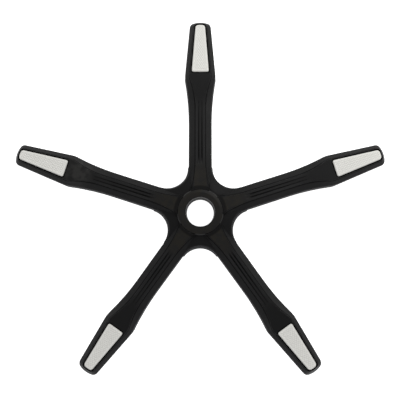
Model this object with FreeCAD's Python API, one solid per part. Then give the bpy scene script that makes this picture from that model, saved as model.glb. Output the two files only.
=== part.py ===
import FreeCAD, Part
import math
import os

from FreeCAD import Placement, Rotation, Vector

# Five star swivel-chair base: a moulded nylon star, a steel taper liner in its hub and a soft foot pad
# on each arm. Millimetres, +Z up. The origin is on the hub's axis, in the plane of the caster seats.
# A "radius" of an arm feature is its distance from the hub's axis, seen from above.

# Star as a whole
arm_count = 5
first_arm_deg = 90.0
tip_radius = 340.0
arm_top_on_axis = 65.0
arm_fall_deg = 6.1
skirt_height_at_hub = 12.0
skirt_height_at_tip = 3.0

# Arm outline, seen from above
arm_width = 39.4
flare_length = 86.9
flare_radius = 436.0
shoulder_round = 30.0
foot_width = 53.2
foot_tip_width = 36.0
tip_round = 39.0
tip_corner = 9.0

# Raised panel along the top of each arm
panel_width = 16.9
panel_rise = 1.5
panel_draft = 0.6
panel_flare_length = 66.4
panel_flare_radius = 155.0
panel_shoulder_round = 16.0
panel_root_flare_start = 90.0
panel_root_flare_radius = 195.0

# Sloping flanks between the panel and the skirt, which spreads with the mould's draft
flank_drop = 6.5
edge_break_width = 1.2
edge_break_height = 2.4
skirt_draft_deg = 1.5
tip_lean_deg = 18.0
web_draft_deg = 3.5

# Pair of grooves in each panel
groove_offset = 2.75
groove_start = 82.0
groove_end_margin = 50.4
groove_width = 3.0
groove_tip_width = 0.6
groove_depth = 1.6
groove_run_out = 14.0

# Hub
hub_top = 62.0
hub_bottom = 9.0
hub_tube_radius = 33.0
ring_radius = 40.3
ring_crown_width = 6.5
ring_crown_drop = 3.4
panel_root_radius = 39.8
web_height_at_ring = 55.5
web_round = 38.0

# Gas-lift socket: a slow taper through the hub, lined with a steel ring under the hub's lip
socket_diameter = 50.0
taper_half_angle_deg = 1.438
liner_wall = 1.8
liner_height = 12.0
liner_clearance = 0.05
top_lip = 3.0
lip_relief = 0.5

# Moulded walls and ribs under the star
skirt_wall = 3.6
roof_wall = 3.2
web_wall = 4.0
rib_wall = 3.0
brace_wall = 2.6
brace_count = 5
pocket_flank_depth = 12.0
pocket_shoulder_margin = 10.4
pocket_end_margin = 8.0

# Caster ends
caster_inset = 32.0
caster_boss_width = 24.0
stem_socket_diameter = 11.0
stem_socket_depth = 23.0

# Foot pads, each in a recess that leaves a channel round it
pad_tip_margin = 7.2
pad_length = 85.4
pad_width = 30.0
pad_tip_width = 16.4
pad_inner_corner = 3.4
pad_tip_corner = 4.0
pad_tip_round = 31.0
pad_margin = 3.4
pad_seat_depth = 2.6
pad_channel = 2.4
pad_edge_height = 0.3
pad_rise = 1.1
pad_bevel_width = 2.4

# Snap tabs under each pad
tab_width = 6.0
tab_wall = 2.2
tab_barb = 0.6
tab_barb_length = 1.8
tab_clearance = 0.15
tab_inner_inset = 8.6
tab_outer_inset = 6.8

# The foot of an arm keeps its form and place behind the tip
caster_radius = tip_radius - caster_inset
pad_outer_radius = tip_radius - pad_tip_margin
pad_inner_radius = pad_outer_radius - pad_length
flare_start = pad_inner_radius - flare_length
panel_flare_start = pad_inner_radius - panel_flare_length
groove_end = pad_inner_radius - groove_end_margin
pocket_shoulder_radius = pad_inner_radius - pocket_shoulder_margin
pocket_end_radius = tip_radius - pocket_end_margin
tab_radii = (pad_inner_radius + tab_inner_inset, pad_outer_radius - tab_outer_inset)

fall = math.radians(arm_fall_deg)
roof_depth = pad_seat_depth + roof_wall
flank_foot = panel_rise + flank_drop
skirt_top = flank_foot + edge_break_height
arm_frame = Placement(Vector(0, 0, arm_top_on_axis), Rotation(Vector(0, 1, 0), arm_fall_deg))
deep = hub_top + tip_radius
up = Vector(0, 0, 1)
skirt_depth = hub_top
skirt_spread = skirt_depth * math.tan(math.radians(skirt_draft_deg))
tip_reach = skirt_depth * math.tan(math.radians(tip_lean_deg))


def along(radius):
    """Distance along the sloping arm of a point of its top plane at a plan radius."""
    return radius / math.cos(fall)


def line(a, b):
    return Part.LineSegment(a, b).toShape()


def arc(centre, a, b):
    """The shorter arc from a to b about a centre."""
    middle = ((a - centre) + (b - centre)).normalize() * (a - centre).Length
    return Part.Arc(a, centre + middle, b).toShape()


def mirrored(p):
    return Vector(p.x, -p.y, p.z)


def run_to(point, direction, centre, distance):
    """Where a line from point comes to lie at a distance from a centre, the further of the two places."""
    back = point - centre
    b = back.dot(direction)
    return point + direction * (-b + math.sqrt(b * b - back.dot(back) + distance**2))


def side_line(n, inner, outer):
    """A tapering side through two (radius, half width) points: a point, its run and its outward normal."""
    start = Vector(along(inner[0]), inner[1], n)
    run = (Vector(along(outer[0]), outer[1], n) - start).normalize()
    return start, run, Vector(-run.y, run.x, 0)


def symmetric_wire(half_side, tip_centre):
    """A closed outline: one side's runs of (centre or None, start, end), the tip arc and the other side."""
    first, last = half_side[0][1], half_side[-1][2]
    tip = tip_centre + Vector((last - tip_centre).Length, 0, 0)
    edges = [arc(c, a, b) if c else line(a, b) for c, a, b in half_side]
    edges.append(Part.Arc(last, tip, mirrored(last)).toShape())
    for c, a, b in reversed(half_side):
        a, b = mirrored(b), mirrored(a)
        edges.append(arc(mirrored(c), a, b) if c else line(a, b))
    edges.append(line(mirrored(first), first))
    return Part.Wire(edges)


def arm_wire(n, inset, half, flare, shoulder, side, end, root):
    """An arm's outline n above its top plane: root, straight run, flare, shoulder, tapering foot and tip.

    flare, end and root are (radius, round, ...) pairs as named where they are called; an inset moves
    the outline inwards and leaves the centres of its arcs where they are.
    """
    start, run, out = side_line(n, *side)
    flare_at, flare_r = flare
    end_at, end_r, corner_r = end
    root_at, root_from, root_r = root
    flare_centre = Vector(along(flare_at), half + flare_r, n)
    shoulder_centre = run_to(start - out * shoulder, run, flare_centre, flare_r + shoulder)
    tip_centre = Vector(along(end_at) - end_r, 0, n)
    corner_centre = run_to(start - out * corner_r, run, tip_centre, end_r - corner_r)
    inner = Vector(along(root_at), half - inset, n)
    root_end = Vector(along(root_from), half - inset, n)
    root_centre = None
    if root_r:
        root_centre = Vector(root_end.x, half + root_r, n)
        spread = math.sqrt((root_r + inset) ** 2 - (root_end.x - inner.x) ** 2)
        inner.y = root_centre.y - spread
    flare_in = Vector(along(flare_at), half - inset, n)
    to_shoulder = (shoulder_centre - flare_centre) * ((flare_r + inset) / (flare_r + shoulder))
    flare_out = flare_centre + to_shoulder
    foot_in = shoulder_centre + out * (shoulder - inset)
    foot_out = corner_centre + out * (corner_r - inset)
    to_corner = (corner_centre - tip_centre) * ((end_r - inset) / (end_r - corner_r))
    half_side = [
        (root_centre, inner, root_end),
        (None, root_end, flare_in),
        (flare_centre, flare_in, flare_out),
        (shoulder_centre, flare_out, foot_in),
        (None, foot_in, foot_out),
        (corner_centre, foot_out, tip_centre + to_corner),
    ]
    return symmetric_wire(half_side, tip_centre)


def body_wire(n, inset, reach=0.0):
    """The arm's own outline, which comes to the tip radius where the skirt starts, and further by a reach."""
    tip = tip_radius + skirt_top * math.sin(fall)
    side = ((pad_inner_radius, foot_width / 2), (tip, foot_tip_width / 2))
    flare = (flare_start, flare_radius)
    end = (tip + reach, tip_round, tip_corner)
    root = (socket_diameter / 2, panel_root_flare_start, None)
    return arm_wire(n, inset, arm_width / 2, flare, shoulder_round, side, end, root)


def panel_wire(n, inset):
    """The raised panel's outline, which keeps one margin round the foot pad."""
    side = (
        (pad_inner_radius, pad_width / 2 + pad_margin),
        (pad_outer_radius, pad_tip_width / 2 + pad_margin),
    )
    flare = (panel_flare_start, panel_flare_radius)
    end = (pad_outer_radius + pad_margin, pad_tip_round + pad_margin, pad_tip_corner + pad_margin)
    root = (socket_diameter / 2, panel_root_flare_start, panel_root_flare_radius)
    return arm_wire(n, inset, panel_width / 2, flare, panel_shoulder_round, side, end, root)


def pad_wire(n, inset):
    """A foot pad's outline: a rounded taper with a crowned outer end."""
    inner, outer = (pad_inner_radius, pad_width / 2), (pad_outer_radius, pad_tip_width / 2)
    start, run, out = side_line(n, inner, outer)
    end_line = along(pad_inner_radius)
    tip_centre = Vector(along(pad_outer_radius) - pad_tip_round, 0, n)
    inner_line = start - out * pad_inner_corner
    inner_centre = inner_line + run * ((end_line + pad_inner_corner - inner_line.x) / run.x)
    reach = pad_tip_round - pad_tip_corner
    corner_centre = run_to(start - out * pad_tip_corner, run, tip_centre, reach)
    to_corner = (corner_centre - tip_centre) * ((pad_tip_round - inset) / reach)
    side_in = inner_centre + out * (pad_inner_corner - inset)
    side_out = corner_centre + out * (pad_tip_corner - inset)
    half_side = [
        (inner_centre, Vector(end_line + inset, inner_centre.y, n), side_in),
        (None, side_in, side_out),
        (corner_centre, side_out, tip_centre + to_corner),
    ]
    return symmetric_wire(half_side, tip_centre)


def pocket_wire(n, inset):
    """The straight-sided outline of the hollow under an arm: it follows the arm's flare in two chords."""
    half = arm_width / 2 - inset
    middle = (flare_start + pocket_shoulder_radius) / 2
    flare_rise = flare_radius - math.sqrt(flare_radius**2 - (middle - flare_start) ** 2)
    narrowing = (foot_width - foot_tip_width) / 2 / (tip_radius - pad_inner_radius)
    points = [
        (socket_diameter / 2, half),
        (flare_start, half),
        (middle, half + flare_rise),
    ]
    for radius in (pocket_shoulder_radius, pocket_end_radius):
        points.append((radius, foot_width / 2 - inset - (radius - pad_inner_radius) * narrowing))
    corners = [Vector(along(r), y, n) for r, y in points]
    corners += [mirrored(p) for p in reversed(corners)]
    return Part.makePolygon(corners + corners[:1])


def on_arm(shape):
    """A shape made on the arm's top plane, moved to the arm that points along +X."""
    placed = shape.copy()
    placed.Placement = arm_frame
    return placed


def around(shape):
    """The five copies of a shape that belongs to the arm along +X."""
    copies = []
    for k in range(arm_count):
        copy = shape.copy()
        copy.rotate(Vector(0, 0, 0), up, first_arm_deg + k * 360.0 / arm_count)
        copies.append(copy)
    return copies


def turned(points):
    """A solid of revolution from (radius, height) points."""
    profile = Part.makePolygon([Vector(r, 0, z) for r, z in points + points[:1]])
    return Part.Face(profile).revolve(Vector(0, 0, 0), up, 360)


def ruled_solid(rings):
    """A solid ruled from each outline to the next, made on the arm's plane and moved to the arm."""
    return on_arm(Part.makeLoft(rings, True, True))


def groove(side):
    """Cutter of one groove: it runs out at the hub end and narrows to a point at the other."""

    def section(n, start, end, width, tip_width):
        u_in, u_out = along(start), along(end)
        y = side * groove_offset
        corners = [
            Vector(u_in, y - width / 2, n),
            Vector(u_out, y - tip_width / 2, n),
            Vector(u_out, y + tip_width / 2, n),
            Vector(u_in, y + width / 2, n),
        ]
        return Part.makePolygon(corners + corners[:1])

    rise = groove_depth
    spread = groove_width - groove_width / 3
    mouth = section(rise, groove_start - groove_run_out, groove_end + groove_run_out,
                    groove_width + spread, groove_tip_width * 2)
    floor = section(-groove_depth, groove_start + groove_run_out, groove_end - groove_run_out,
                    groove_width / 3, groove_tip_width / 3)
    return Part.makeLoft([floor, mouth], True, True)


def snap_tabs(profile, width):
    """A pad's two snap tabs or their slots, from one (offset along the arm, height) profile.

    They stand on the arm's middle line, one inside the caster boss and one between it and the tip.
    """
    tabs = []
    for radius in tab_radii:
        points = [Vector(along(radius) + offset, -width / 2, n) for offset, n in profile]
        tab = Part.Face(Part.makePolygon(points + points[:1]))
        tabs.append(tab.extrude(Vector(0, width, 0)))
    return tabs


def arm_body():
    """The outside of one arm: skirt, broken edge, flank and raised panel."""
    arm = ruled_solid([
        body_wire(-skirt_top - skirt_depth, -skirt_spread, tip_reach),
        body_wire(-skirt_top, 0),
        body_wire(-flank_foot, edge_break_width),
        panel_wire(-panel_rise, 0),
        panel_wire(0, panel_draft),
    ])
    return arm.cut([Part.makeCylinder(panel_root_radius, deep), skirt_ground()])


def caster_boss(height):
    """An eight-sided caster boss from the plane of the caster seats upwards; the ribs meet its flats."""
    corner_angle = math.pi / 8
    reach = caster_boss_width / 2 / math.cos(corner_angle)
    corners = []
    for k in range(8):
        angle = (2 * k + 1) * corner_angle
        corners.append(Vector(caster_radius + reach * math.cos(angle), reach * math.sin(angle), 0))
    return Part.Face(Part.makePolygon(corners + corners[:1])).extrude(up * height)


def arm_pockets(hub_core):
    """The hollows under one arm, between its skirt, its zigzag braces and the tied caster boss."""
    flank_width = (arm_width - panel_width) / 2
    hollow = ruled_solid([
        pocket_wire(-pocket_flank_depth - skirt_depth, skirt_wall - skirt_spread),
        pocket_wire(-pocket_flank_depth, skirt_wall),
        pocket_wire(-roof_depth, flank_width),
    ])
    boss_inner = caster_radius - caster_boss_width / 2
    keep = [hub_core, caster_boss(deep)]
    boss_rib = Vector(caster_radius - rib_wall / 2, -foot_width, 0)
    keep.append(Part.makeBox(rib_wall, 2 * foot_width, deep, boss_rib))
    pitch = (boss_inner - hub_tube_radius) / brace_count
    for k in range(brace_count):
        lean = 1 if (brace_count - k) % 2 else -1
        angle = lean * math.degrees(math.atan2(arm_width, pitch))
        length = 2 * math.hypot(arm_width, pitch)
        brace = Part.makeBox(length, brace_wall, deep, Vector(-length / 2, -brace_wall / 2, 0))
        brace.rotate(Vector(0, 0, 0), up, angle)
        brace.translate(Vector(hub_tube_radius + (k + 0.5) * pitch, 0, 0))
        keep.append(brace)
    return hollow.cut(keep)


def web_outline(inset):
    """The hub's plan between the arms: a concave arc in each gap and a chord across each arm."""
    half = arm_width / 2
    gap = math.pi / arm_count
    reach = (half + web_round) / math.sin(gap)
    touch = reach * math.cos(gap)
    edges = []
    for k in range(arm_count):
        angle = math.radians(first_arm_deg) + 2 * gap * k
        ray = Vector(math.cos(angle), math.sin(angle), 0)
        across = Vector(-ray.y, ray.x, 0)
        middle = Vector(math.cos(angle + gap), math.sin(angle + gap), 0)
        after = Vector(math.cos(angle + 2 * gap), math.sin(angle + 2 * gap), 0)
        after_across = Vector(-after.y, after.x, 0)
        left = ray * touch + across * (half - inset)
        next_right = after * touch - after_across * (half - inset)
        edges.append(line(ray * touch - across * (half - inset), left))
        edges.append(Part.Arc(left, middle * (reach - web_round - inset), next_right).toShape())
    return Part.Wire(edges), touch


def web_foot():
    """Radius and height at which the web's top meets the arms' edges."""
    touch = web_outline(0)[1]
    height = arm_top_on_axis - touch * math.tan(fall) - flank_foot / math.cos(fall)
    return math.hypot(touch, arm_width / 2), height


def web_prism(inset):
    """The web's plan carried upwards from its lower edge, drawn in by the draft."""
    rings = []
    for z in (skirt_height_at_hub, hub_top):
        spread = (web_foot()[1] - z) * math.tan(math.radians(web_draft_deg))
        ring = web_outline(inset - spread)[0]
        ring.translate(up * z)
        rings.append(ring)
    return Part.makeLoft(rings, True, True)


def web_cone(drop):
    """Solid under the web's conical top, which falls from the hub ring to the arms' edges."""
    foot_radius, foot_height = web_foot()
    slope = (web_height_at_ring - foot_height) / (foot_radius - ring_radius)
    apex = web_height_at_ring + slope * ring_radius
    base = foot_radius + web_round
    return turned([(0, 0), (base, 0), (base, apex - slope * base - drop), (0, apex - drop)])


def web_body():
    """The hub's body between the arms, with its upper edge broken as the arms' edges are."""
    web = web_prism(0).common(web_cone(0)).removeSplitter()
    upper = []
    for edge in web.Edges:
        ends = [v.Point.z for v in edge.Vertexes]
        middle = edge.valueAt((edge.FirstParameter + edge.LastParameter) / 2)
        on_arc = math.hypot(middle.x, middle.y) < web_outline(0)[1] - edge_break_width
        if min(ends) > web_foot()[1] - edge_break_height and on_arc and len(edge.Vertexes) == 2:
            upper.append(edge)
    return web.makeChamfer(edge_break_height, edge_break_width, upper) if upper else web


def skirt_ground():
    """Everything below one arm's lower edge: level under the hub, then falling to the tip."""
    level_to = web_outline(0)[1]
    points = [
        (0, -deep),
        (deep, -deep),
        (deep, skirt_height_at_tip),
        (tip_radius, skirt_height_at_tip),
        (level_to, skirt_height_at_hub),
        (0, skirt_height_at_hub),
    ]
    profile = Part.makePolygon([Vector(x, -foot_width, z) for x, z in points + points[:1]])
    return Part.Face(profile).extrude(Vector(0, 2 * foot_width, 0))


taper = math.tan(math.radians(taper_half_angle_deg))
liner_top = hub_top - top_lip
liner_bottom = liner_top - liner_height


def socket_radius(z):
    """Radius of the socket's taper at a height."""
    return socket_diameter / 2 - (liner_top - z) * taper


def hub_body():
    """The hub's tube and raised ring, solid inside. The ring's soft crown is two facets of an ellipse."""
    facet = 1 - math.sqrt(0.5)
    return turned([
        (0, hub_bottom),
        (hub_tube_radius, hub_bottom),
        (hub_tube_radius, web_height_at_ring - web_wall),
        (ring_radius, web_height_at_ring - web_wall),
        (ring_radius, hub_top - ring_crown_drop),
        (ring_radius - facet * ring_crown_width, hub_top - facet * ring_crown_drop),
        (ring_radius - ring_crown_width, hub_top),
        (0, hub_top),
    ])


def hub_bore():
    """Cutter of the hub's inside: the lip, the liner's seat and the taper below it."""
    seat = socket_diameter / 2 + liner_wall + liner_clearance
    top_hole = socket_radius(liner_top) + lip_relief
    return turned([
        (0, hub_bottom - 1),
        (socket_radius(hub_bottom - 1), hub_bottom - 1),
        (socket_radius(liner_bottom), liner_bottom),
        (seat, liner_bottom),
        (seat, liner_top),
        (top_hole, liner_top),
        (top_hole, hub_top + 1),
        (0, hub_top + 1),
    ])


def hub_sleeve():
    """The steel liner, seated under the hub's lip: straight outside, tapered inside."""
    outside = socket_diameter / 2 + liner_wall
    return turned([
        (socket_radius(liner_bottom), liner_bottom),
        (outside, liner_bottom),
        (outside, liner_top),
        (socket_radius(liner_top), liner_top),
    ])


def stem_socket():
    """Cutter of one caster stem's blind hole."""
    return Part.makeCylinder(stem_socket_diameter / 2, stem_socket_depth, Vector(caster_radius, 0, 0))


def pad_seat():
    """Cutter of one pad's recess and of the slots for its tabs."""
    floor = Part.Face(pad_wire(-pad_seat_depth, -pad_channel))
    seat = floor.extrude(up * (pad_seat_depth + pad_rise))
    outer = tab_wall + tab_clearance
    inner = -tab_barb - tab_clearance
    slot = [(inner, -2 * roof_depth), (outer, -2 * roof_depth), (outer, 0), (inner, 0)]
    return on_arm(seat.fuse(snap_tabs(slot, tab_width + 2 * tab_clearance)))


def foot_pad():
    """One foot pad with a bevelled rim, held by two barbed snap tabs."""
    rings = [
        pad_wire(-pad_seat_depth, 0),
        pad_wire(pad_edge_height, 0),
        pad_wire(pad_rise, pad_bevel_width),
    ]
    pad = Part.makeLoft(rings, True, True)
    barb_top = -roof_depth - tab_clearance
    hook = [
        (0, barb_top - tab_barb_length),
        (tab_wall, barb_top - tab_barb_length),
        (tab_wall + tab_barb, barb_top),
        (tab_wall, barb_top),
        (tab_wall, pad_edge_height - pad_seat_depth),
        (0, pad_edge_height - pad_seat_depth),
    ]
    return on_arm(pad.fuse(snap_tabs(hook, tab_width)).removeSplitter())


def star_base():
    """The moulded star: arms, webs and hub, hollowed from below and cut for its sockets and pads."""
    core = Part.makeCylinder(hub_tube_radius, deep)
    roof_ring = web_cone(0).cut(web_cone(web_wall))
    roof_ring = roof_ring.common(Part.makeCylinder(panel_root_radius + web_wall, deep))
    hollows = around(arm_pockets(core.fuse(roof_ring)))
    arm_slab = Part.makeBox(tip_radius, arm_width, deep, Vector(0, -arm_width / 2, 0))
    web_hollow = web_prism(web_wall).common(web_cone(web_wall))
    hollows.append(web_hollow.cut([core] + around(arm_slab)))
    grooves = [on_arm(groove(-1)), on_arm(groove(1))]

    star = web_body().fuse(around(arm_body()))
    star = star.cut(hollows)
    boss_height = arm_top_on_axis - caster_radius * math.tan(fall) - pad_seat_depth - roof_wall / 2
    star = star.fuse([hub_body()] + around(caster_boss(boss_height)))
    cuts = [hub_bore()] + around(stem_socket()) + around(pad_seat())
    for cutter in grooves:
        cuts += around(cutter)
    return star.cut(cuts).removeSplitter()


os.makedirs("parts", exist_ok=True)
star_base().exportStep("parts/star_base.step")
hub_sleeve().exportStep("parts/hub_sleeve.step")
for number, pad in enumerate(around(foot_pad()), 1):
    pad.exportStep(f"parts/foot_pad_{number}.step")
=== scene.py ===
import math

import bpy
import numpy as np
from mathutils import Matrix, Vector


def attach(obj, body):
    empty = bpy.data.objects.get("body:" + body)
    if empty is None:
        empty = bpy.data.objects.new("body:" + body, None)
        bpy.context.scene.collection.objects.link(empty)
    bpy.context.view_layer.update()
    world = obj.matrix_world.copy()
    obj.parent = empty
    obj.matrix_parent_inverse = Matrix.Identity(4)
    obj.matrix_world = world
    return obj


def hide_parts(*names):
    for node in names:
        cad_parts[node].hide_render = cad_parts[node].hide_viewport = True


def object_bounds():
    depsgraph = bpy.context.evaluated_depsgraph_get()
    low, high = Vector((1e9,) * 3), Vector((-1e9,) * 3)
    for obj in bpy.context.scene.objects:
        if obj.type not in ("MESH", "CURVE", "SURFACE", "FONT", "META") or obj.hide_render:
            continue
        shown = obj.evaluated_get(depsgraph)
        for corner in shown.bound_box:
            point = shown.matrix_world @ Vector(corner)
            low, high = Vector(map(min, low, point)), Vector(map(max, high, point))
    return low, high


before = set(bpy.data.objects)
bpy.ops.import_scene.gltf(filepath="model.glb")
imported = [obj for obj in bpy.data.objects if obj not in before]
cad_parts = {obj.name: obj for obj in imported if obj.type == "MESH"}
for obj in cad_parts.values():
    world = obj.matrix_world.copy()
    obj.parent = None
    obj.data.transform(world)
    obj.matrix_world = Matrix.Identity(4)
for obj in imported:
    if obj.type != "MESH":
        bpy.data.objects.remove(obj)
cad_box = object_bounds()


# Moulded star
# The arms, webs and hub are one moulding of glass-filled black nylon with a fine spark-eroded grain.
# Handling rubs the edges paler, and the panels' margins are paler. Round the hub, the raised faces take
# warm painted light and the lower faces painted shade. Crevices and the panels' feet take painted shade,
# the plates are darker, and one arm's plate has a painted highlight.

ARM_COUNT = 5
ARM_FIRST_ANGLE = math.radians(90)
ARM_FALL = math.radians(6.1)
PANEL_HEIGHT_ON_AXIS = 0.0650
PANEL_RISE = 0.0015

NYLON_BLACK = (0.0052, 0.0052, 0.0055, 1.0)
NYLON_PATCH = (0.0075, 0.0074, 0.0072, 1.0)
NYLON_PALER = (0.0095, 0.0095, 0.0098, 1.0)
# Warm painted light for the raised faces round the hub.
NYLON_WARM_LIGHT = (0.0106, 0.0093, 0.0068, 1.0)
# The near-black of painted shade, also the tone of the darker plates.
NYLON_SHADE_BLACK = (0.0015, 0.0015, 0.0016, 1.0)
# A painted highlight for one arm's plate.
NYLON_PLATE_GLINT = (0.0195, 0.0190, 0.0180, 1.0)
NYLON_ROUGHNESS = (0.37, 0.43)
NYLON_IOR = 1.5
NYLON_SPECULAR = 0.25

# The fine noise is the grain's height. The slow noise makes patches, and mostly keeps to the patch range.
GRAIN_DETAIL = 3.0
GRAIN_ROUGHNESS = 0.6
PATCH_DETAIL = 4.0
PATCH_RANGE = (0.3, 0.7)
NYLON_GRAIN_SCALE = 1500.0
NYLON_GRAIN_DEPTH = 0.00003
NYLON_PATCH_SCALE = 26.0
BLOTCH_SCALE = 95.0
BLOTCH_RANGE = (0.36, 0.64)
BLOTCH_SHARES = (0.25, 1.45)

# An edge is where the rounded normal turns past these cosines, a crevice where this little sky is open.
EDGE_RADIUS = 0.0004
EDGE_SAMPLES = 6
EDGE_COSINES = (0.985, 0.86)
CREVICE_REACH = 0.008
CREVICE_SAMPLES = 8
CREVICE_SKY = (0.97, 0.68)

# The masks fade between two levels, radii or offsets. A level is a height with the arms' fall added back.
RAISED_LEVELS = (PANEL_HEIGHT_ON_AXIS - 0.0026, PANEL_HEIGHT_ON_AXIS - 0.0012)
TOP_LEVELS = (PANEL_HEIGHT_ON_AXIS - 0.0008, PANEL_HEIGHT_ON_AXIS - 0.0003)
# The panels' feet and the ring's foot take painted shade in these bands.
FOOT_LEVEL = PANEL_HEIGHT_ON_AXIS - PANEL_RISE
FOOT_REACH = (0.0005, 0.0012)
FOOT_FROM_RADIUS = (0.041, 0.044)
FOOT_FROM_OFFSET = (0.0055, 0.0065)
FOOT_SHADE_SHARE = 0.70
RING_FOOT_START = (0.0400, 0.0405)
RING_FOOT_END = (0.0445, 0.0465)
RING_FOOT_SHADE_SHARE = 0.38
MARGIN_FROM_RADIUS = (0.080, 0.095)
MARGIN_FROM_OFFSET = (0.0044, 0.0052)
PLATE_FROM_RADIUS = (0.175, 0.205)
PLATE_SHARE = 0.75
# Painted shade on the lower faces round the hub.
HUB_SHADE_TO_RADIUS = (0.075, 0.105)
HUB_SHADE_SHARE = 0.85
# Where the painted highlight lies: the arm, its distance out, and its reach.
GLINT_ARM = 1
GLINT_RADIUS = 0.224
GLINT_REACH = (0.010, 0.032)

# Each stop of the warm painted light is a share of its reach, with its strength on the ring and on the
# panels' roots.
WARM_LIGHT_REACH = 0.100
WARM_LIGHT_STOPS = (
    (0.26, 0.0, 0.0),
    (0.28, 0.7, 0.0),
    (0.375, 0.7, 0.0),
    (0.40, 0.2, 0.0),
    (0.43, 0.0, 0.2),
    (0.46, 0.0, 1.0),
    (0.60, 0.0, 1.0),
    (0.95, 0.0, 0.0),
)
WARM_LIGHT_TO_OFFSET = (0.0105, 0.0115)


def arm_angle(number):
    """The angle of an arm about the axis, counted round from the first one."""
    return ARM_FIRST_ANGLE + number * 2 * math.pi / ARM_COUNT


def grain_group():
    """Mould grain as a group: fine noise is the height, and slow noise gives the sheen's soft patches."""
    group = bpy.data.node_groups.new("mould_grain", "ShaderNodeTree")
    group.interface.new_socket("Vector", in_out="INPUT", socket_type="NodeSocketVector")
    group.interface.new_socket("Grain Scale", in_out="INPUT", socket_type="NodeSocketFloat")
    group.interface.new_socket("Patch Scale", in_out="INPUT", socket_type="NodeSocketFloat")
    group.interface.new_socket("Height", in_out="OUTPUT", socket_type="NodeSocketFloat")
    group.interface.new_socket("Patches", in_out="OUTPUT", socket_type="NodeSocketFloat")
    inlet = group.nodes.new("NodeGroupInput")
    outlet = group.nodes.new("NodeGroupOutput")
    fine = group.nodes.new("ShaderNodeTexNoise")
    fine.inputs["Detail"].default_value = GRAIN_DETAIL
    fine.inputs["Roughness"].default_value = GRAIN_ROUGHNESS
    slow = group.nodes.new("ShaderNodeTexNoise")
    slow.inputs["Detail"].default_value = PATCH_DETAIL
    wires = group.links
    wires.new(inlet.outputs["Vector"], fine.inputs["Vector"])
    wires.new(inlet.outputs["Vector"], slow.inputs["Vector"])
    wires.new(inlet.outputs["Grain Scale"], fine.inputs["Scale"])
    wires.new(inlet.outputs["Patch Scale"], slow.inputs["Scale"])
    wires.new(fine.outputs["Fac"], outlet.inputs["Height"])
    wires.new(slow.outputs["Fac"], outlet.inputs["Patches"])
    return group


mould_grain = grain_group()


def own_place(material):
    """The piece's own coordinates, from the coordinate node of a grained material."""
    return material.node_tree.nodes["Texture Coordinate"].outputs["Object"]


def placed_grain(material, grain_scale, patch_scale):
    """The mould grain put into a material at its own scales."""
    grain = material.node_tree.nodes.new("ShaderNodeGroup")
    grain.node_tree = mould_grain
    grain.inputs["Grain Scale"].default_value = grain_scale
    grain.inputs["Patch Scale"].default_value = patch_scale
    material.node_tree.links.new(own_place(material), grain.inputs["Vector"])
    return grain


def grained_material(name, grain_scale, patch_scale):
    """A material with a shader and the mould grain on the piece's own coordinates."""
    material = bpy.data.materials.new(name)
    material.use_nodes = True
    material.node_tree.nodes.new("ShaderNodeTexCoord")
    grain = placed_grain(material, grain_scale, patch_scale)
    return material, material.node_tree.nodes["Principled BSDF"], grain


def mapped(material, source, span, values):
    """A value carried from a span to a pair of values, and held at both ends."""
    node = material.node_tree.nodes.new("ShaderNodeMapRange")
    node.inputs["From Min"].default_value, node.inputs["From Max"].default_value = span
    node.inputs["To Min"].default_value, node.inputs["To Max"].default_value = values
    material.node_tree.links.new(source, node.inputs["Value"])
    return node.outputs["Result"]


def computed(material, operation, *values):
    """The result of a sum on up to three values, each a plain number or another node's output."""
    node = material.node_tree.nodes.new("ShaderNodeMath")
    node.operation = operation
    for socket, value in zip(node.inputs, values):
        if isinstance(value, float):
            socket.default_value = value
        else:
            material.node_tree.links.new(value, socket)
    return node.outputs["Value"]


# A mix node keeps its sockets for colours after those for numbers and vectors.
MIX_COLOUR_INPUTS = (6, 7)
MIX_COLOUR_OUTPUT = 2


def mixed_colour(material, share, first, second):
    """A colour between two, each a plain colour or another node's output."""
    node = material.node_tree.nodes.new("ShaderNodeMix")
    node.data_type = "RGBA"
    material.node_tree.links.new(share, node.inputs["Factor"])
    for number, value in zip(MIX_COLOUR_INPUTS, (first, second)):
        if isinstance(value, tuple):
            node.inputs[number].default_value = value
        else:
            material.node_tree.links.new(value, node.inputs[number])
    return node.outputs[MIX_COLOUR_OUTPUT]


def bumped(material, height, depth, normal=None):
    """A normal that follows a height, from the plain surface or from another normal."""
    node = material.node_tree.nodes.new("ShaderNodeBump")
    node.inputs["Distance"].default_value = depth
    material.node_tree.links.new(height, node.inputs["Height"])
    if normal:
        material.node_tree.links.new(normal, node.inputs["Normal"])
    return node.outputs["Normal"]


def star_place(material):
    """Where a point lies on the star: its distance from the axis, its offset from the nearest arm's middle
    line, which is that radius times the angle between them, and its level, which is the height plus the
    radius times the slope of the arms' fall."""
    axes = material.node_tree.nodes.new("ShaderNodeSeparateXYZ")
    material.node_tree.links.new(own_place(material), axes.inputs["Vector"])
    x, y, z = axes.outputs
    radius_square = computed(material, "MULTIPLY_ADD", x, x, computed(material, "MULTIPLY", y, y))
    radius = computed(material, "SQRT", radius_square)
    half_turn = math.pi / ARM_COUNT
    angle = computed(material, "ARCTAN2", y, x)
    turn = computed(material, "WRAP", angle, ARM_FIRST_ANGLE + half_turn, ARM_FIRST_ANGLE - half_turn)
    aside = computed(material, "ABSOLUTE", computed(material, "SUBTRACT", turn, ARM_FIRST_ANGLE))
    offset = computed(material, "MULTIPLY", aside, radius)
    level = computed(material, "MULTIPLY_ADD", radius, math.tan(ARM_FALL), z)
    return radius, offset, level


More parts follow.
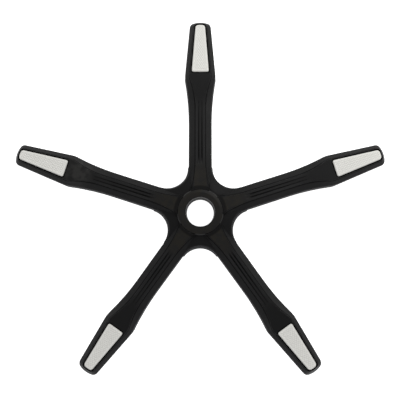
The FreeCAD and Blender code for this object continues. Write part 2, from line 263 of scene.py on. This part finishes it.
def warm_light_mask(material, radius, offset, raised):
    """Warm painted light on the raised faces: one strength for the ring and one for the panels' roots, both
    by the distance from the axis, and the second only near the arm's middle line."""
    profile = material.node_tree.nodes.new("ShaderNodeValToRGB")
    stops = profile.color_ramp.elements
    while len(stops) < len(WARM_LIGHT_STOPS):
        stops.new(1.0)
    for stop, (share, on_ring, on_roots) in zip(stops, WARM_LIGHT_STOPS):
        stop.position = share
        stop.color = (on_ring, on_roots, 0.0, 1.0)
    reach = mapped(material, radius, (0.0, WARM_LIGHT_REACH), (0.0, 1.0))
    material.node_tree.links.new(reach, profile.inputs["Fac"])
    strengths = material.node_tree.nodes.new("ShaderNodeSeparateColor")
    material.node_tree.links.new(profile.outputs["Color"], strengths.inputs["Color"])
    on_ring, on_roots = strengths.outputs["Red"], strengths.outputs["Green"]
    middle = mapped(material, offset, WARM_LIGHT_TO_OFFSET, (1.0, 0.0))
    strength = computed(material, "MULTIPLY_ADD", on_roots, middle, on_ring)
    return computed(material, "MULTIPLY", strength, raised)


def hub_shade_and_plates_mask(material, radius, raised, on_top):
    """Painted shade on the lower faces round the hub, and a darker tone on the plates that carry the pads.
    """
    below = mapped(material, raised, (0.0, 1.0), (HUB_SHADE_SHARE, 0.0))
    hub_shade = computed(material, "MULTIPLY", below, mapped(material, radius, HUB_SHADE_TO_RADIUS, (1.0, 0.0)))
    plate = mapped(material, radius, PLATE_FROM_RADIUS, (0.0, PLATE_SHARE))
    return computed(material, "MAXIMUM", hub_shade, computed(material, "MULTIPLY", on_top, plate))


def foot_shade_mask(material, radius, offset, level, raised):
    """Painted shade at the feet: a narrow band of levels round the panels' foot, away from the hub's ring
    and from the grooves, and a band of radii on the raised faces round the ring."""
    from_foot = computed(material, "ABSOLUTE", computed(material, "SUBTRACT", level, FOOT_LEVEL))
    band = mapped(material, from_foot, FOOT_REACH, (FOOT_SHADE_SHARE, 0.0))
    outside = computed(
        material, "MULTIPLY",
        mapped(material, radius, FOOT_FROM_RADIUS, (0.0, 1.0)),
        mapped(material, offset, FOOT_FROM_OFFSET, (0.0, 1.0)))
    ring_foot_shade = computed(
        material, "MINIMUM",
        mapped(material, radius, RING_FOOT_START, (0.0, RING_FOOT_SHADE_SHARE)),
        mapped(material, radius, RING_FOOT_END, (RING_FOOT_SHADE_SHARE, 0.0)))
    return computed(
        material, "MAXIMUM",
        computed(material, "MULTIPLY", band, outside),
        computed(material, "MULTIPLY", ring_foot_shade, raised))


def margin_mask(material, radius, offset, on_top):
    """Paler margins: the panels' tops outside the grooves, from past the roots to the plates."""
    along = computed(
        material, "MULTIPLY",
        mapped(material, radius, MARGIN_FROM_RADIUS, (0.0, 1.0)),
        mapped(material, radius, PLATE_FROM_RADIUS, (1.0, 0.0)))
    beside = computed(material, "MULTIPLY", along, mapped(material, offset, MARGIN_FROM_OFFSET, (0.0, 1.0)))
    return computed(material, "MULTIPLY", on_top, beside)


def plate_glint_mask(material):
    """A painted highlight on one arm's plate, by the distance from a point in the panels' plane."""
    angle = arm_angle(GLINT_ARM)
    from_glint = material.node_tree.nodes.new("ShaderNodeVectorMath")
    from_glint.operation = "DISTANCE"
    from_glint.inputs[1].default_value = (
        GLINT_RADIUS * math.cos(angle),
        GLINT_RADIUS * math.sin(angle),
        PANEL_HEIGHT_ON_AXIS - GLINT_RADIUS * math.tan(ARM_FALL),
    )
    material.node_tree.links.new(own_place(material), from_glint.inputs[0])
    return mapped(material, from_glint.outputs["Value"], GLINT_REACH, (1.0, 0.0))


def edge_mask(material, rounded_normal):
    """Edges, by how far a rounded normal turns from the face's own."""
    facing = material.node_tree.nodes.new("ShaderNodeNewGeometry")
    turn = material.node_tree.nodes.new("ShaderNodeVectorMath")
    turn.operation = "DOT_PRODUCT"
    material.node_tree.links.new(rounded_normal, turn.inputs[0])
    material.node_tree.links.new(facing.outputs["Normal"], turn.inputs[1])
    return mapped(material, turn.outputs["Value"], EDGE_COSINES, (0.0, 1.0))


def crevice_shade_mask(material):
    """Painted shade in crevices, by how much of the near sky is hidden."""
    sky = material.node_tree.nodes.new("ShaderNodeAmbientOcclusion")
    sky.samples = CREVICE_SAMPLES
    sky.only_local = True
    sky.inputs["Distance"].default_value = CREVICE_REACH
    return mapped(material, sky.outputs["AO"], CREVICE_SKY, (0.0, 1.0))


def nylon_material():
    """Black nylon: soft patches of colour and sheen, then painted shade on the lower faces round the hub and
    darker plates, a painted highlight on one plate and warm painted light round the hub, both in blotches,
    and the edges worn paler with paler margins. Painted shade darkens and dulls the crevices and the
    panels' feet, and also takes the feet's gloss away, by a metallic share on a colour that is almost black."""
    material, shader, grain = grained_material("black_nylon_grain", NYLON_GRAIN_SCALE, NYLON_PATCH_SCALE)
    wires = material.node_tree.links
    rounded = material.node_tree.nodes.new("ShaderNodeBevel")
    rounded.samples = EDGE_SAMPLES
    rounded.inputs["Radius"].default_value = EDGE_RADIUS
    radius, offset, level = star_place(material)
    raised = mapped(material, level, RAISED_LEVELS, (0.0, 1.0))
    on_top = mapped(material, level, TOP_LEVELS, (0.0, 1.0))
    blotches = placed_grain(material, NYLON_GRAIN_SCALE, BLOTCH_SCALE)
    mottle = mapped(material, blotches.outputs["Patches"], BLOTCH_RANGE, BLOTCH_SHARES)
    # The painted highlight on one plate, in blotches.
    glint = computed(material, "MULTIPLY", plate_glint_mask(material), mottle)
    # Warm painted light on the raised faces round the hub, in blotches.
    warm_light = computed(material, "MULTIPLY", warm_light_mask(material, radius, offset, raised), mottle)
    margins = margin_mask(material, radius, offset, on_top)
    paler_edges_and_margins = computed(material, "MAXIMUM", edge_mask(material, rounded.outputs["Normal"]), margins)
    feet = foot_shade_mask(material, radius, offset, level, raised)
    # Painted shade in the crevices and at the panels' feet.
    painted_shade = computed(material, "MAXIMUM", crevice_shade_mask(material), feet)
    colour = mixed_colour(material, grain.outputs["Patches"], NYLON_BLACK, NYLON_PATCH)
    # Painted shade on the lower faces round the hub, and darker plates.
    colour = mixed_colour(material, hub_shade_and_plates_mask(material, radius, raised, on_top), colour, NYLON_SHADE_BLACK)
    colour = mixed_colour(material, glint, colour, NYLON_PLATE_GLINT)
    colour = mixed_colour(material, warm_light, colour, NYLON_WARM_LIGHT)
    colour = mixed_colour(material, paler_edges_and_margins, colour, NYLON_PALER)
    colour = mixed_colour(material, painted_shade, colour, NYLON_SHADE_BLACK)
    wires.new(colour, shader.inputs["Base Color"])
    satin = mapped(material, grain.outputs["Patches"], PATCH_RANGE, NYLON_ROUGHNESS)
    wires.new(computed(material, "MAXIMUM", satin, painted_shade), shader.inputs["Roughness"])
    # Painted shade: a metallic share on a near-black colour takes the gloss off the feet.
    wires.new(feet, shader.inputs["Metallic"])
    normal = bumped(material, grain.outputs["Height"], NYLON_GRAIN_DEPTH, rounded.outputs["Normal"])
    wires.new(normal, shader.inputs["Normal"])
    shader.inputs["IOR"].default_value = NYLON_IOR
    shader.inputs["Specular IOR Level"].default_value = NYLON_SPECULAR
    return material


def refinish(node, material):
    """A node of the frame with its own finish in place of the plain one."""
    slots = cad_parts[node].data.materials
    slots.clear()
    slots.append(material)


refinish("star_base", nylon_material())


# Taper liner
# A short steel ring pressed in under the hub's lip takes the wear of the gas-lift column. Its inside is
# turned to the column's slow taper, and the tool leaves fine rings and a thin film of oil.

LINER_STEEL = (0.36, 0.36, 0.37, 1.0)
LINER_OILED = (0.20, 0.19, 0.18, 1.0)
LINER_ROUGHNESS = (0.42, 0.28)
LINER_OIL_RANGE = (0.42, 0.62)
LINER_PATCH_SCALE = 60.0
LINER_GRAIN_SCALE = 2200.0
LINER_GRAIN_DEPTH = 0.000005
LINER_RING_SCALE = 700.0
LINER_RING_WAVER = 0.6
LINER_RING_DEPTH = 0.00002


def liner_material():
    """Turned steel: rings along the height, and oil in slow patches that darkens and smooths it."""
    material, shader, grain = grained_material("turned_steel", LINER_GRAIN_SCALE, LINER_PATCH_SCALE)
    wires = material.node_tree.links
    rings = material.node_tree.nodes.new("ShaderNodeTexWave")
    rings.bands_direction = "Z"
    rings.inputs["Scale"].default_value = LINER_RING_SCALE
    rings.inputs["Distortion"].default_value = LINER_RING_WAVER
    wires.new(own_place(material), rings.inputs["Vector"])
    oil = mapped(material, grain.outputs["Patches"], LINER_OIL_RANGE, (0.0, 1.0))
    wires.new(mixed_colour(material, oil, LINER_STEEL, LINER_OILED), shader.inputs["Base Color"])
    wires.new(mapped(material, oil, (0.0, 1.0), LINER_ROUGHNESS), shader.inputs["Roughness"])
    scored = bumped(material, rings.outputs["Fac"], LINER_RING_DEPTH)
    normal = bumped(material, grain.outputs["Height"], LINER_GRAIN_DEPTH, scored)
    wires.new(normal, shader.inputs["Normal"])
    shader.inputs["Metallic"].default_value = 1.0
    return material


refinish("hub_sleeve", liner_material())


# Foot pads
# A light grey moulded pad lies in a recess on top of each arm's end, held from below by two snap tabs.
# It has a smooth bevelled rim, and a field of small diamonds that keeps a shoe from slipping.

PAD_INNER = 0.2474
PAD_OUTER = 0.3328
PAD_HALF_WIDTH = 0.0150
PAD_TIP_HALF_WIDTH = 0.0082
PAD_INNER_CORNER = 0.0034
PAD_TIP_CORNER = 0.0040
PAD_TIP_ROUND = 0.031
PAD_BOW_FROM = 0.7
PAD_FLOOR = -0.0026
PAD_EDGE = 0.0003
PAD_RISE = 0.0011
PAD_BEVEL = 0.0024
PAD_STATIONS = 241
PAD_EVEN_SHARE = 0.65
PAD_ACROSS = 81
FIELD_MARGIN = 0.0030
FIELD_STEP = 0.00035
DIAMOND_LENGTH = 0.0058
DIAMOND_WIDTH = 0.0039
DIAMOND_HEIGHT = 0.00042
DIAMOND_SUNK_SHARE = 0.75
TAB_RADII = (0.256, 0.326)
TAB_WIDTH = 0.006
TAB_WALL = 0.0022
TAB_BARB = 0.0006
TAB_BARB_TOP = -0.00595
TAB_BARB_LENGTH = 0.0018
PAD_LIGHT = (0.770, 0.764, 0.722, 1.0)
PAD_SHADE = (0.745, 0.740, 0.701, 1.0)
# Painted shade low between the diamonds.
PAD_HOLLOW_SHADE = (0.500, 0.492, 0.458, 1.0)
PAD_HOLLOW_SHADE_SHARE = 0.55
PAD_ROUGHNESS = (0.52, 0.62)
PAD_PATCH_SCALE = 70.0
PAD_GRAIN_SCALE = 1900.0
PAD_GRAIN_DEPTH = 0.00002


def eased(x):
    """A step from 0 to 1 with level ends: three x squared less two x cubed."""
    x = np.clip(x, 0.0, 1.0)
    return x * x * (3.0 - 2.0 * x)


def corner_cut(distance, radius):
    """How far a rounded corner stands back from its side, at a distance from the end."""
    left = np.clip(radius - distance, 0.0, radius)
    return radius - np.sqrt(radius * radius - left * left)


def pad_plan():
    """A pad's grid in the arm's own frame: the places along and across, and how far each is in from the rim.

    The stations crowd a little towards both ends. Each one's half width is the taper less the two ends'
    corner cuts, and the outer end is bowed by half the square of the offset over its round. The way in from
    the rim is measured from the nearest side or end, and at a corner from its arc.
    """
    start = PAD_INNER / math.cos(ARM_FALL)
    length = PAD_OUTER / math.cos(ARM_FALL) - start
    even = np.linspace(0.0, 1.0, PAD_STATIONS)[:, None]
    crowded = 0.5 - 0.5 * np.cos(math.pi * even)
    share = PAD_EVEN_SHARE * even + (1.0 - PAD_EVEN_SHARE) * crowded
    taper = PAD_HALF_WIDTH + (PAD_TIP_HALF_WIDTH - PAD_HALF_WIDTH) * share
    from_inner = share * length
    from_outer = (1.0 - share) * length
    cut = corner_cut(from_inner, PAD_INNER_CORNER) + corner_cut(from_outer, PAD_TIP_CORNER)
    across = np.linspace(-1.0, 1.0, PAD_ACROSS)[None, :] * (taper - cut)
    bow = eased((share - PAD_BOW_FROM) / (1.0 - PAD_BOW_FROM)) * across * across / (2.0 * PAD_TIP_ROUND)
    along = start + from_inner - bow
    from_side = taper - np.abs(across)
    from_end = np.minimum(from_inner, from_outer)
    side_left = np.clip(PAD_INNER_CORNER - from_side, 0.0, None)
    end_left = np.clip(PAD_INNER_CORNER - from_end, 0.0, None)
    left = np.hypot(side_left, end_left)
    inwards = np.where(left > 0.0, PAD_INNER_CORNER - left, np.minimum(from_side, from_end))
    return along, across, inwards


def pad_points():
    """The points of a pad's top and of its flat bottom, in the arm's own frame (along, across, up).

    The top rises from the rim over the bevel by a quarter of a sine wave. The field's diamonds are the
    product of two slanting sine waves, sunk by a share of their height.
    """
    along, across, inwards = pad_plan()
    bevel = np.sin(np.clip(inwards / PAD_BEVEL, 0.0, 1.0) * math.pi / 2)
    field = eased((inwards - FIELD_MARGIN) / FIELD_STEP)
    one = along / DIAMOND_LENGTH + across / DIAMOND_WIDTH
    other = along / DIAMOND_LENGTH - across / DIAMOND_WIDTH
    diamonds = np.abs(np.sin(math.pi * one) * np.sin(math.pi * other))
    plain = PAD_EDGE + (PAD_RISE - PAD_EDGE) * bevel
    up = plain + field * DIAMOND_HEIGHT * (diamonds - DIAMOND_SUNK_SHARE)
    top = np.stack([along, across, up], axis=-1).reshape(-1, 3)
    bottom = top.copy()
    bottom[:, 2] = PAD_FLOOR
    return top, bottom


def pad_quads():
    """Quads of the top, of the bottom and of the wall that joins the two along the grid's border."""
    count = PAD_STATIONS * PAD_ACROSS
    index = np.arange(count).reshape(PAD_STATIONS, PAD_ACROSS)
    top = np.stack([index[:-1, :-1], index[1:, :-1], index[1:, 1:], index[:-1, 1:]], axis=-1).reshape(-1, 4)
    border = np.concatenate([index[:-1, 0], index[-1, :-1], index[:0:-1, -1], index[0, :0:-1]])
    after = np.roll(border, -1)
    wall = np.stack([after, border, border + count, after + count], axis=-1)
    return np.concatenate([top, top[:, ::-1] + count, wall])


def tab_arrays(first):
    """The two barbed tabs in the arm's own frame, each a six-cornered profile carried across the arm, with
    their points counted from the first."""
    low = TAB_BARB_TOP - TAB_BARB_LENGTH
    profile = np.array([
        (0.0, low),
        (TAB_WALL, low),
        (TAB_WALL + TAB_BARB, TAB_BARB_TOP),
        (TAB_WALL, TAB_BARB_TOP),
        (TAB_WALL, PAD_FLOOR + PAD_EDGE),
        (0.0, PAD_FLOOR + PAD_EDGE),
    ])
    corners = len(profile)
    near = np.arange(corners) + first
    far = near + corners
    walls = np.stack([np.roll(near, -1), near, far, np.roll(far, -1)], axis=-1)
    points = []
    faces = []
    for number, radius in enumerate(TAB_RADII):
        along = profile[:, 0] + radius / math.cos(ARM_FALL)
        for side in (-TAB_WIDTH / 2, TAB_WIDTH / 2):
            points.append(np.stack([along, np.full(corners, side), profile[:, 1]], axis=-1))
        earlier = number * 2 * corners
        faces += [(near + earlier).tolist(), (far[::-1] + earlier).tolist()] + (walls + earlier).tolist()
    return np.concatenate(points), faces


def on_arm(points, angle):
    """Points of an arm's own frame put in the object's: tilted down by the fall, lifted and turned."""
    out = points[:, 0] * math.cos(ARM_FALL) + points[:, 2] * math.sin(ARM_FALL)
    up = PANEL_HEIGHT_ON_AXIS - points[:, 0] * math.sin(ARM_FALL) + points[:, 2] * math.cos(ARM_FALL)
    x = out * math.cos(angle) - points[:, 1] * math.sin(angle)
    y = out * math.sin(angle) + points[:, 1] * math.cos(angle)
    return np.stack([x, y, up], axis=-1)


def pad_material():
    """Matt grey plastic: soft patches, fine grain, and painted shade low between the diamonds."""
    material, shader, grain = grained_material("pad_grey_grip", PAD_GRAIN_SCALE, PAD_PATCH_SCALE)
    wires = material.node_tree.links
    hollow = material.node_tree.nodes.new("ShaderNodeAttribute")
    hollow.attribute_name = "hollow"
    patched = mixed_colour(material, grain.outputs["Patches"], PAD_LIGHT, PAD_SHADE)
    # Painted shade where the top lies low between the diamonds.
    hollow_shade = mapped(material, hollow.outputs["Fac"], (0.0, 1.0), (0.0, PAD_HOLLOW_SHADE_SHARE))
    wires.new(mixed_colour(material, hollow_shade, patched, PAD_HOLLOW_SHADE), shader.inputs["Base Color"])
    matt = mapped(material, grain.outputs["Patches"], PATCH_RANGE, PAD_ROUGHNESS)
    wires.new(matt, shader.inputs["Roughness"])
    wires.new(bumped(material, grain.outputs["Height"], PAD_GRAIN_DEPTH), shader.inputs["Normal"])
    return material


pad_grey = pad_material()
pad_top, pad_bottom = pad_points()
pad_faces = pad_quads()
tab_points, tab_faces = tab_arrays(len(pad_top) + len(pad_bottom))
grip_points = np.concatenate([pad_top, pad_bottom, tab_points])
grip_faces = pad_faces.tolist() + tab_faces
diamond_top = PAD_RISE + (1.0 - DIAMOND_SUNK_SHARE) * DIAMOND_HEIGHT
grip_hollow = np.zeros(len(grip_points))
grip_hollow[:len(pad_top)] = np.clip((diamond_top - pad_top[:, 2]) / DIAMOND_HEIGHT, 0.0, 1.0)

for number in range(ARM_COUNT):
    mesh = bpy.data.meshes.new(f"grip_pad_{number + 1}")
    mesh.from_pydata(on_arm(grip_points, arm_angle(number)).tolist(), [], grip_faces)
    mesh.attributes.new("hollow", "FLOAT", "POINT").data.foreach_set("value", grip_hollow)
    mesh.polygons.foreach_set("use_smooth", np.arange(len(grip_faces)) < len(pad_faces))
    mesh.materials.append(pad_grey)
    mesh.update()
    pad = bpy.data.objects.new(f"grip_pad_{number + 1}", mesh)
    bpy.context.scene.collection.objects.link(pad)
    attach(pad, "root")
    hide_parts(f"foot_pad_{number + 1}")


# Studio
# The base stands on its caster seats on a plain white table, inside a ring of five soft lights. The one at
# the upper right stands higher and is the strongest, and the low ones fill the sides of the arms.

FLOOR_WHITE = (0.92, 0.92, 0.92, 1.0)
FLOOR_SHADE = (0.90, 0.90, 0.90, 1.0)
FLOOR_ROUGHNESS = 0.8
FLOOR_GRAIN_SCALE = 300.0
FLOOR_PATCH_SCALE = 2.0
FLOOR_HALF = 6.0
FLOOR_GAP = 0.0005
BACKDROP_GLOW = 1.05
BORE_GLOW = 0.17
BORE_GLOW_RADII = (0.0288, 0.0320)
PLAIN_WHITE = (1.0, 1.0, 1.0, 1.0)


def floor_material():
    """A white table top, washed out where it is looked at: it glows to the camera, and not to the object,
    apart from a faint disc under the hub for the light that comes down the bore."""
    material, shader, grain = grained_material("white_table", FLOOR_GRAIN_SCALE, FLOOR_PATCH_SCALE)
    nodes = material.node_tree.nodes
    wires = material.node_tree.links
    tone = mixed_colour(material, grain.outputs["Patches"], FLOOR_WHITE, FLOOR_SHADE)
    wires.new(tone, shader.inputs["Base Color"])
    shader.inputs["Roughness"].default_value = FLOOR_ROUGHNESS
    shader.inputs["Emission Color"].default_value = PLAIN_WHITE
    ray = nodes.new("ShaderNodeLightPath")
    seen = mapped(material, ray.outputs["Is Camera Ray"], (0.0, 1.0), (0.0, BACKDROP_GLOW))
    reach = nodes.new("ShaderNodeVectorMath")
    reach.operation = "LENGTH"
    wires.new(own_place(material), reach.inputs[0])
    disc = mapped(material, reach.outputs["Value"], BORE_GLOW_RADII, (BORE_GLOW, 0.0))
    wires.new(computed(material, "MAXIMUM", seen, disc), shader.inputs["Emission Strength"])
    return material


floor_mesh = bpy.data.meshes.new("white_table")
floor_corners = np.array([(-1, -1, 0), (1, -1, 0), (1, 1, 0), (-1, 1, 0)]) * FLOOR_HALF
floor_corners[:, 2] = cad_box[0][2] - FLOOR_GAP
floor_mesh.from_pydata(floor_corners.tolist(), [], [(0, 1, 2, 3)])
floor_mesh.materials.append(floor_material())
floor = bpy.data.objects.new("white_table", floor_mesh)
bpy.context.scene.collection.objects.link(floor)

# Each light has a name, an azimuth and an elevation in degrees, a power in watts and a colour.
LIGHT_RING = (
    ("upper_right_light", 54, 35, 39.5, (1.0, 1.0, 1.0)),
    ("upper_left_light", 126, 20, 18.5, (1.0, 1.0, 1.0)),
    ("left_light", 198, 20, 11.5, (0.97, 0.97, 1.0)),
    ("lower_light", 270, 20, 13.0, (0.93, 0.93, 1.0)),
    ("right_light", 342, 20, 10.5, (1.0, 1.0, 1.0)),
)
LIGHT_DISTANCE = 2.5
LIGHT_SIZE = 1.2
ROOM_GLOW = 0.335


def soft_light(name, azimuth, elevation, power, colour):
    """A square soft light on the ring, at an azimuth and an elevation, turned to face the hub."""
    data = bpy.data.lights.new(name, "AREA")
    data.size = LIGHT_SIZE
    data.energy = power
    data.color = colour
    light = bpy.data.objects.new(name, data)
    out = math.cos(math.radians(elevation))
    place = Vector((
        out * math.cos(math.radians(azimuth)),
        out * math.sin(math.radians(azimuth)),
        math.sin(math.radians(elevation)),
    ))
    light.location = place * LIGHT_DISTANCE
    light.rotation_euler = (-place).to_track_quat("-Z", "Y").to_euler()
    bpy.context.scene.collection.objects.link(light)


def dim_room():
    """A dim white room all round, which the camera sees as bright as the table."""
    room = bpy.data.worlds.new("dim_room")
    room.use_nodes = True
    wall = room.node_tree.nodes["Background"]
    wall.inputs["Color"].default_value = PLAIN_WHITE
    ray = room.node_tree.nodes.new("ShaderNodeLightPath")
    level = mapped(room, ray.outputs["Is Camera Ray"], (0.0, 1.0), (ROOM_GLOW, BACKDROP_GLOW))
    room.node_tree.links.new(level, wall.inputs["Strength"])
    return room


for name, azimuth, elevation, power, colour in LIGHT_RING:
    soft_light(name, azimuth, elevation, power, colour)

bpy.context.scene.world = dim_room()


# Camera
# A long lens looks almost straight down on the base, tipped a little towards the side where two arms point.
# The picture keeps its plain tones, with no film curve laid over them.

CAMERA_DISTANCE = 1.6564
CAMERA_ELEVATION = math.radians(86.324)
CAMERA_TARGET = Vector((-0.0005, 0.0219, 0.0350))
CAMERA_LENS = 85.5
CAMERA_SENSOR = 36.0

camera_data = bpy.data.cameras.new("camera")
camera_data.sensor_width = CAMERA_SENSOR
camera_data.lens = CAMERA_LENS
camera = bpy.data.objects.new("camera", camera_data)
back = Vector((0.0, -math.cos(CAMERA_ELEVATION), math.sin(CAMERA_ELEVATION)))
camera.location = CAMERA_TARGET + back * CAMERA_DISTANCE
camera.rotation_euler = (math.pi / 2 - CAMERA_ELEVATION, 0.0, 0.0)
bpy.context.scene.collection.objects.link(camera)
bpy.context.scene.camera = camera
bpy.context.scene.view_settings.view_transform = "Standard"
